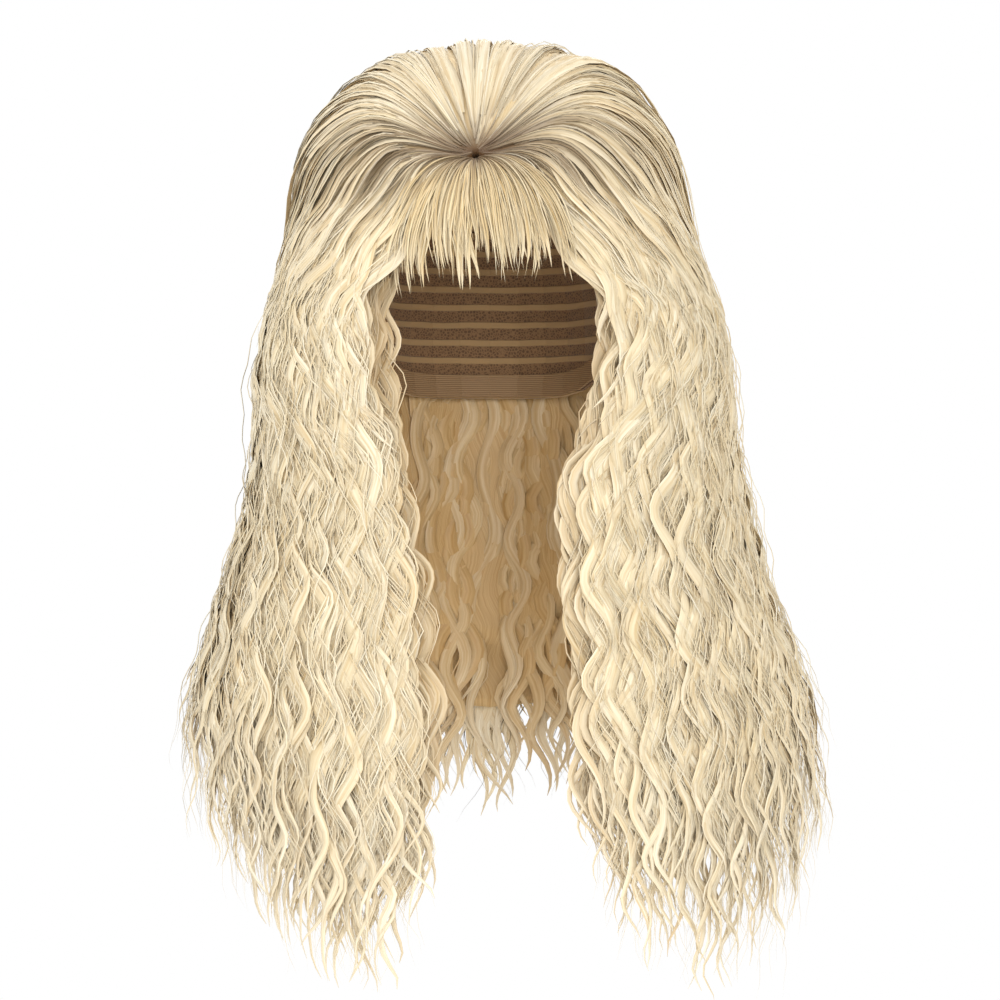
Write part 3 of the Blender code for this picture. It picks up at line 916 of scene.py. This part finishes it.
@dataclass(frozen=True)
class Stretch:
    """A stretch of long hair on each side of the head, and how its clumps are laid."""

    name: str
    ways: tuple[float, float]
    count: int
    depth: tuple[float, float]
    locks: int = 3
    strands: int = 4
    flyaways: int = 1
    begin: tuple[float, float] = (0.0, 0.7)
    last: tuple[float, float] = (2.0, 2.0)
    bend: float = 0.13
    length: tuple[float, float] = (0.88, 1.06)
    pitch: tuple[float, float] = (0.050, 0.080)
    inner: bool = False
    lock_rings: int = 66
    strand_rings: int = 44
    sway: float = 0.004
    lock_width: float = 0.0078
    # Each clump's share of painted shade, from the shallowest clump to the deepest.
    shade: tuple[float, float] = (0.0, 0.3)

    def clumps(self, form: HairForm, side: Side, seed: int) -> Clumps:
        """The middle lines of the stretch's clumps on one side.

        An outer clump runs from the whorl over the crown and down the fall, at its own depth
        below the surface. An inner one lies on the inside of the hair, from the cap's edge.
        Its way drifts a little along it, so that clumps cross.

        Args:
            form: the hair's form.
            side: the side of the head.
            seed: seed of the clumps' places.

        Returns:
            The clumps.
        """
        rng = np.random.default_rng(seed + 500 * (side is Side.LEFT))
        n = self.count
        share = np.linspace(0.0, 1.0, 61)[None, :]
        way = (np.arange(n) + rng.uniform(0.0, 1.0, n)) / n
        rng.shuffle(way)
        way = self.ways[0] + (self.ways[1] - self.ways[0]) * way
        sign = np.full(n, side.value)
        begin = np.maximum(rng.uniform(*self.begin, n), 0.0)[:, None]
        last = rng.uniform(*self.last, n)[:, None]
        bend = self.bend * (1.0 - np.minimum(begin, 0.999))
        fallen = 1 + (last - 1) * (share - bend) / (1 - bend)
        run = np.where(share < bend, begin + (1 - begin) * share / bend, fallen)
        depth = rng.uniform(*self.depth, n)
        length = rng.uniform(*self.length, n)
        turns = rng.uniform(0.8, 2.0, n)[:, None]
        drift = rng.normal(0.0, 0.012, n)[:, None] * np.sin(share * np.pi * turns)
        drifted = np.clip(way[:, None] + drift * ease(run), *self.ways)
        if self.inner:
            share = np.clip(run - 1.0, 0.0, 1.0)
            point = form.fall(drifted, sign[:, None], share, depth[:, None], length[:, None], True)
        else:
            under = depth[:, None] + 0.006 * (1.0 - ease((run - begin) / 0.12)) * (begin > 0.02)
            crown = form.crown(way, sign, np.clip(run, 0.0, 1.0), under)
            fall = form.fall(drifted, sign[:, None], np.clip(run - 1.0, 0.0, 1.0), under, length[:, None])
            point = np.where((run < 1.0)[..., None], crown, fall)
        for _ in range(5):
            point[:, 1:-1] = (point[:, :-2] + 2.0 * point[:, 1:-1] + point[:, 2:]) / 4.0
        across = unit(np.cross(form.outward(point), unit(np.gradient(point, axis=1))))
        curve = np.sin(run * rng.uniform(2.5, 5.5, (n, 1)) + rng.uniform(0.0, 6.0, (n, 1)))
        point = point + across * (self.sway * curve * ease(run * 1.5))[..., None]
        # Deeper clumps get more painted shade.
        shade = self.shade[0] + (self.shade[1] - self.shade[0]) * (depth - self.depth[0]) / np.ptp(self.depth)
        phase = 9.0 * way + 2.4 * np.sin(11.0 * way + side.value) + rng.normal(0.0, 1.1, n)
        facing = -1.0 if self.inner else 1.0
        return Clumps(form, point, run, phase, rng.uniform(*self.pitch, n), shade, facing)

    def build(self, form: HairForm, side: Side, finish: bpy.types.Material, seed: int) -> None:
        """Builds the stretch's locks and strands on one side.

        Args:
            form: the hair's form.
            side: the side of the head.
            finish: the hair's material.
            seed: seed of everything that varies.
        """
        clumps = self.clumps(form, side, seed)
        tag = side.name.lower()
        arrays = MeshArrays()
        lock = replace(LOCK, each=self.locks, width=self.lock_width, rings=self.lock_rings)
        clumps.draw(lock, arrays, seed + 1)
        place(arrays.build(f"{self.name}_locks_{tag}", finish), "blonde_hair")
        arrays = MeshArrays()
        clumps.draw(replace(STRAND, each=self.strands, rings=self.strand_rings), arrays, seed + 2)
        if self.flyaways:
            clumps.draw(replace(FLYAWAY, each=self.flyaways, rings=self.strand_rings), arrays, seed + 3)
        place(arrays.build(f"{self.name}_strands_{tag}", finish), "blonde_hair")


# The lining inside the hair gets the most painted shade, and the edge more than the outside.
STRETCHES = (
    Stretch("front", (0.035, 0.32), 56, (0.001, 0.008), 3, 6),
    Stretch("side", (0.3, 0.6), 27, (0.001, 0.008), 3, 4),
    Stretch("back", (0.58, 1.02), 34, (0.001, 0.008), 3, 2),
    Stretch(
        "edge", (0.028, 0.055), 12, (0.003, 0.028), 4, 6, 0, (0.2, 0.7),
        sway=0.001, lock_width=0.0055, shade=(0.1, 0.6),
    ),
    Stretch(
        "lining", (0.08, 1.0), 30, (0.0, 0.003), 2, 1, 0, (1.0, 1.01),
        inner=True, lock_rings=44, strand_rings=34, shade=(0.85, 1.0),
    ),
    Stretch(
        "crown", (0.0, 1.03), 74, (0.001, 0.007), 2, 4, 0, (-0.2, 0.3), (1.05, 1.4), 0.75,
        (1.0, 1.01), lock_rings=30, strand_rings=26, sway=0.007, shade=(0.0, 0.3),
    ),
)


@dataclass
class Hair:
    """All the long hair of the wig: its teased body, its locks and its single strands."""

    form: HairForm

    def build(self) -> None:
        """Builds and dresses every piece of long hair."""
        blonde = HairFinish("crimped synthetic fibre, platinum").build()
        both = (Side.LEFT, Side.RIGHT)
        bodies = (
            HairMass(self.form, "crown_hair", (0.05, 1.0), both, (0.0, 1.0), 60, 20, inset=0.005),
            HairMass(self.form, "front_hair_left", (0.05, 0.3), (Side.LEFT,), (1.0, 2.0), 24, 40),
            HairMass(self.form, "front_hair_right", (0.05, 0.3), (Side.RIGHT,), (1.0, 2.0), 24, 40),
            HairMass(self.form, "side_hair_left", (0.3, 0.58), (Side.LEFT,), (1.0, 2.0), 24, 40),
            HairMass(self.form, "side_hair_right", (0.3, 0.58), (Side.RIGHT,), (1.0, 2.0), 24, 40),
            HairMass(self.form, "back_hair", (0.58, 1.0), both, (1.0, 2.0), 24, 40),
        )
        for body in bodies:
            slot = "honey_hair" if body.node == "back_hair" else "blonde_hair"
            place(body.build(blonde), slot, (body.node,))
        for number, stretch in enumerate(STRETCHES):
            for side in both:
                stretch.build(self.form, side, blonde, 100 * number + 7)


@dataclass
class Fringe:
    """The short fringe: locks and strands that fan from the whorl over the brow."""

    form: HairForm
    half_angle: float = 49.0
    drop: float = 0.087
    side_drop: float = 0.097
    count: int = 36
    rings: int = 22

    def clumps(self) -> Clumps:
        """Lines on great circles from the whorl to the brow, lifted off the head in the middle.

        Returns:
            The fringe's clumps.
        """
        rng = np.random.default_rng(51)
        n = self.count
        across = -1.0 + 2.0 * (np.arange(n) + rng.uniform(0.1, 0.9, n)) / n
        drop = self.drop + (self.side_drop - self.drop) * across**2 + rng.normal(0.0, 0.005, n)
        end = self.form.on_head(across * self.half_angle, drop, self.form.seat)
        share = np.linspace(0.0, 1.0, self.rings)[None, :] * np.ones((n, 1))
        direction = self.form.fan(self.form.scaled_direction(end), share)
        high = rng.uniform(0.004, 0.009, n)[:, None]
        rise = 0.003 + high * np.sin(np.pi * share**0.8) + 0.003 * share
        reach = np.array(self.form.head_half) + self.form.seat + rise[..., None]
        point = self.form.centre() + direction * reach
        out = self.form.outward(point)
        sideways = unit(np.cross(unit(np.gradient(point, axis=1)), out))
        bend = rng.normal(0.0, 0.010, n)[:, None] * share**2
        arc = 0.014 * across[:, None] * np.sin(np.pi * share)
        point = point + sideways * (bend - arc)[..., None]
        phase = rng.uniform(0.0, 6.0, n)
        # Every fringe clump gets the same small share of painted shade.
        return Clumps(self.form, point, share, phase, np.full(n, 0.06), np.full(n, 0.15), 1.0, 0.03, 0.01)

    def build(self) -> None:
        """Builds the fringe's locks and strands."""
        finish = HairFinish("crimped synthetic fibre, fringe", light="#E6DCC2", body="#DDCA9E").build()
        clumps = self.clumps()
        arrays = MeshArrays()
        gauge = replace(LOCK, width=0.0028, thickness=0.0010, spread=0.0055, each=6, ends=(0.62, 1.0), rings=18)
        clumps.draw(gauge, arrays, 3)
        place(arrays.build("fringe_locks", finish), "blonde_hair", ("fringe",))
        arrays = MeshArrays()
        gauge = replace(STRAND, spread=0.0065, each=17, lift=(0.0, 0.0035), ends=(0.62, 1.0), rings=18)
        clumps.draw(gauge, arrays, 4)
        place(arrays.build("fringe_strands", finish), "blonde_hair")


@dataclass
class Cap:
    """The net cap and its elastic band, whose solids are right and only need their finish."""

    net: NetFinish = NetFinish()
    tape: TapeFinish = TapeFinish()

    def dress(self) -> None:
        """Puts the finishes on the solids."""
        for node, finish in (("cap", self.net), ("edge_band", self.tape)):
            material = finish.build()
            for slot in bpy.data.objects[node].material_slots:
                slot.material = material
            log.info("%s dressed", node)


@dataclass
class Studio:
    """The pale floor, the soft lights and the camera at the photo's angle."""

    floor: float = -0.62
    floor_radius: float = 0.65
    distance: float = 2.0
    eye: float = -0.214
    ambient: float = 1.0

    def ground(self) -> None:
        """Makes a round floor: a fan of triangles about its middle, on a circle."""
        turn = np.linspace(0.0, 2 * np.pi, 96, endpoint=False)
        rim = np.stack([np.cos(turn), np.sin(turn), 0.0 * turn], -1) * self.floor_radius
        points = np.concatenate([[[0.0, 0.0, 0.0]], rim]) + np.array([0.0, 0.0, self.floor])
        i = np.arange(96)
        faces = np.stack([0 * i, i + 1, (i + 1) % 96 + 1], -1)
        mesh = bpy.data.meshes.new("floor")
        mesh.from_pydata(points.tolist(), [], faces.tolist())
        material = bpy.data.materials.new("matt white paper")
        material.use_nodes = True
        shader = material.node_tree.nodes["Principled BSDF"]
        shader.inputs["Base Color"].default_value = linear("#F6F5F3")
        shader.inputs["Roughness"].default_value = 0.9
        mesh.materials.append(material)
        floor = bpy.data.objects.new("floor", mesh)
        bpy.context.scene.collection.objects.link(floor)

    def light(self, name: str, place_at: tuple[float, float, float], size: float, power: float) -> None:
        """Adds a square area light that faces the wig."""
        data = bpy.data.lights.new(name, "AREA")
        data.size = size
        data.energy = power
        lamp = bpy.data.objects.new(name, data)
        lamp.location = place_at
        aim = Vector((0.0, 0.0, self.eye)) - Vector(place_at)
        lamp.rotation_euler = aim.to_track_quat("-Z", "Y").to_euler()
        bpy.context.scene.collection.objects.link(lamp)

    def build(self) -> None:
        """Makes the stage, the lights and the camera."""
        self.ground()
        self.light("front", (0.3, -2.5, 0.15), 1.0, 27.0)
        self.light("key", (-1.3, -1.7, 1.1), 1.2, 10.0)
        self.light("top", (0.0, 0.3, 1.7), 1.2, 8.0)
        self.light("back", (0.3, 2.4, 0.4), 1.2, 18.0)
        world = bpy.data.worlds.new("studio")
        world.use_nodes = True
        tree = world.node_tree
        seen = add_node(tree, "ShaderNodeLightPath", {}, {})
        glow = add_node(
            tree,
            "ShaderNodeMapRange",
            {"To Min": self.ambient, "To Max": 1.0},
            {"Value": seen.outputs["Is Camera Ray"]},
        )
        tree.nodes["Background"].inputs["Color"].default_value = linear("#FFFFFF")
        tree.links.new(glow.outputs[0], tree.nodes["Background"].inputs["Strength"])
        bpy.context.scene.world = world
        camera_data = bpy.data.cameras.new("camera")
        camera_data.sensor_width = 36.0
        camera_data.lens = 36.0 * self.distance / 0.600
        camera = bpy.data.objects.new("camera", camera_data)
        camera.location = (0.0066, -self.distance, self.eye)
        camera.rotation_euler = (math.radians(90.0), 0.0, 0.0)
        bpy.context.scene.collection.objects.link(camera)
        bpy.context.scene.camera = camera
        bpy.context.scene.view_settings.view_transform = "Standard"


def main() -> None:
    """Builds the whole wig on the frame of its solids."""
    logging.basicConfig(level=logging.INFO, format="%(message)s")
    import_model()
    Studio().build()
    form = HairForm()
    Cap().dress()
    Hair(form).build()
    Fringe(form).build()


if __name__ == "__main__":
    main()
